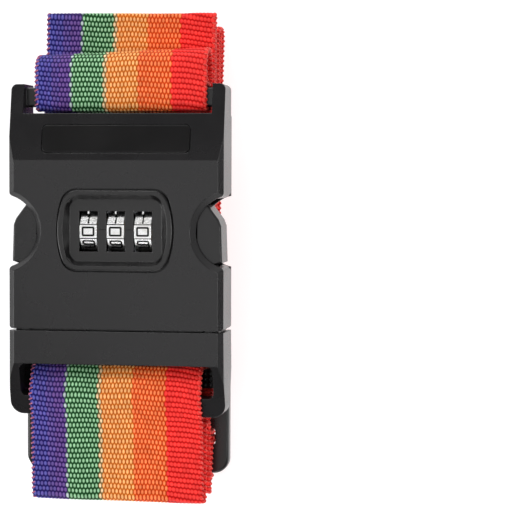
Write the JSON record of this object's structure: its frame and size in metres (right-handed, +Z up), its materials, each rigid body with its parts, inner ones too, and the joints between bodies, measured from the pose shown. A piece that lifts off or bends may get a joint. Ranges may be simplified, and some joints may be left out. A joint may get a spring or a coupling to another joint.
{
  "type": "luggage strap",
  "caption": "Folded webbing luggage strap with a side-release buckle, digit wheels that lock the plug, and a strap adjuster.",
  "frame": {"origin": "centre of the whole object's underside, on the surface that the folded strap lies on", "axes": "+X across the webbing, towards the red edge; +Y along the webbing towards the female half; +Z up, out of the buckle's front face"},
  "size_m": [0.0612, 0.137, 0.0316],
  "materials": {
    "housing_plastic": "fine satin moulded charcoal plastic",
    "label_plastic": "satin moulded plastic, blank",
    "bezel_plastic": "satin moulded plastic with a raised rim",
    "button_plastic": "grey moulded plastic",
    "adjuster_plastic": "satin moulded plastic with grip teeth",
    "wheel_chrome": "bright plated facets with black filled digits",
    "sleeve_brass": "turned brass",
    "shaft_steel": "ground steel pin",
    "spring_steel": "spring steel",
    "comb_steel": "stamped steel",
    "screw_steel": "small blackened steel screw",
    "webbing_fabric": "ribbed polyester webbing with five coloured lengthwise stripes"
  },
  "bodies": {
    "housing": {"front_cover": "housing_plastic", "rear_cover": "housing_plastic", "cover_screws": "screw_steel", "label_plate": "label_plastic", "dial_bezel": "bezel_plastic", "dial_shaft": "shaft_steel", "shaft_spring": "spring_steel", "detent_spring": "spring_steel", "reset_spring": "spring_steel", "webbing_pack": "webbing_fabric", "webbing_female_end": "webbing_fabric"},
    "dial_1": {"number_wheel_1": "wheel_chrome", "cam_sleeve_1": "sleeve_brass"},
    "dial_2": {"number_wheel_2": "wheel_chrome", "cam_sleeve_2": "sleeve_brass"},
    "dial_3": {"number_wheel_3": "wheel_chrome", "cam_sleeve_3": "sleeve_brass"},
    "reset": {"reset_button": "button_plastic"},
    "plug": {"plug_base": "housing_plastic", "comb_plate": "comb_steel", "webbing_front_run": "webbing_fabric"},
    "arm_left": {"latch_arm_left": "housing_plastic"},
    "arm_right": {"latch_arm_right": "housing_plastic"},
    "adjuster": {"adjuster": "adjuster_plastic", "webbing_adjuster_end": "webbing_fabric", "webbing_adjuster_run": "webbing_fabric"}
  },
  "joints": [
    {"name": "plug_release", "type": "slide", "parent": "housing", "child": "plug", "axis": [0, -1, 0], "range_m": [0, 0.045], "deforming": ["latch_arm_left", "latch_arm_right"]},
    {"name": "latch_left", "type": "hinge", "parent": "plug", "child": "arm_left", "pos_m": [-0.0259, -0.0229, 0.0242], "axis": [0, 0, -1], "range_deg": [0, 6], "stiffness_Nm_per_rad": 0.5},
    {"name": "latch_right", "type": "hinge", "parent": "plug", "child": "arm_right", "pos_m": [0.0259, -0.0229, 0.0242], "axis": [0, 0, 1], "range_deg": [0, 6], "stiffness_Nm_per_rad": 0.5},
    {"name": "adjuster_slide", "type": "slide", "parent": "plug", "child": "adjuster", "axis": [0, -1, 0], "range_m": [0, 0.0033]},
    {"name": "reset_press", "type": "slide", "parent": "housing", "child": "reset", "axis": [0, 0, 1], "range_m": [0, 0.0012], "stiffness_N_per_m": 200, "deforming": ["reset_spring"]},
    {"name": "dial_turn_1", "type": "hinge", "parent": "housing", "child": "dial_1", "pos_m": [-0.0077, 0.0069, 0.0242], "axis": [1, 0, 0], "continuous": true},
    {"name": "dial_turn_2", "type": "hinge", "parent": "housing", "child": "dial_2", "pos_m": [0, 0.0069, 0.0242], "axis": [1, 0, 0], "continuous": true},
    {"name": "dial_turn_3", "type": "hinge", "parent": "housing", "child": "dial_3", "pos_m": [0.0077, 0.0069, 0.0242], "axis": [1, 0, 0], "continuous": true}
  ]
}
